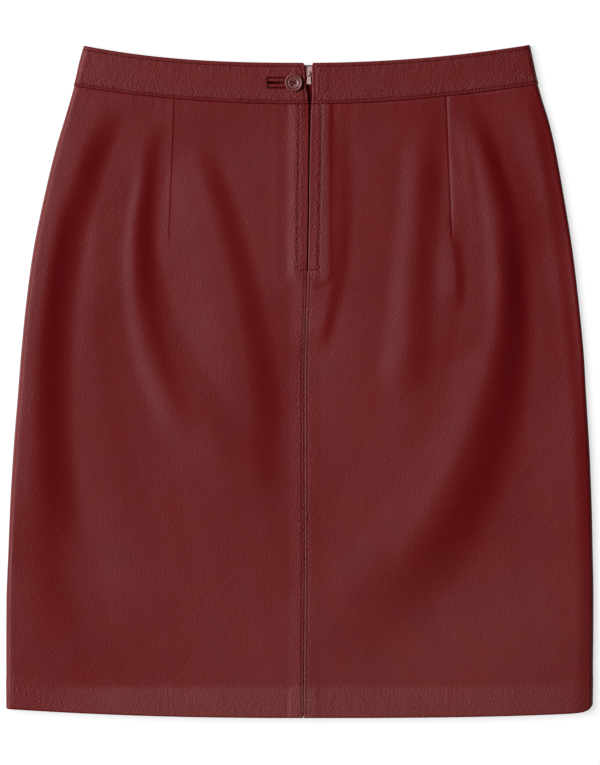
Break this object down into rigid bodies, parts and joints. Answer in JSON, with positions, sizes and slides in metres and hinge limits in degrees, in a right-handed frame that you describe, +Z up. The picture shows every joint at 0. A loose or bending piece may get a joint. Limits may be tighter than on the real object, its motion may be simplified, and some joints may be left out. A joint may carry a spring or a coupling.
{
  "type": "leather skirt",
  "caption": "Straight leather pencil skirt laid flat, back side up, with a buttoned waistband, darts and a zip in the centre back seam whose pull tab turns.",
  "frame": {"origin": "on the surface that the skirt lies on, under the middle of its outline", "axes": "+X to the right as the back is seen, +Y along the centre back from the hem to the waist, +Z up from the surface, out of the back of the skirt"},
  "size_m": [0.5004, 0.5734, 0.0141],
  "materials": {
    "leather": "smooth full-grain nappa with a soft sheen",
    "button": "satin, dyed to match",
    "thread": "twisted polyester thread",
    "zip_tape": "woven tape",
    "zip_coil": "satin monofilament coil",
    "zip_metal": "satin nickel plate"
  },
  "bodies": {
    "skirt": {"back_left_panel": "leather", "back_right_panel": "leather", "front_panel": "leather", "waistband_back_left": "leather", "waistband_back_right": "leather", "waistband_front": "leather", "button_tab": "leather", "buttonhole_lip_upper": "leather", "buttonhole_lip_lower": "leather", "button": "button", "button_thread": "thread", "zip_tape_left": "zip_tape", "zip_tape_right": "zip_tape", "zip_coil": "zip_coil", "zip_slider": "zip_metal"},
    "pull_tab": {"zip_pull": "zip_metal"}
  },
  "joints": [
    {"name": "pull_tab_turn", "type": "hinge", "parent": "skirt", "child": "pull_tab", "pos_m": [0.0076, 0.262, 0.00791], "axis": [-1, 0, 0], "range_deg": [0, 170]}
  ]
}
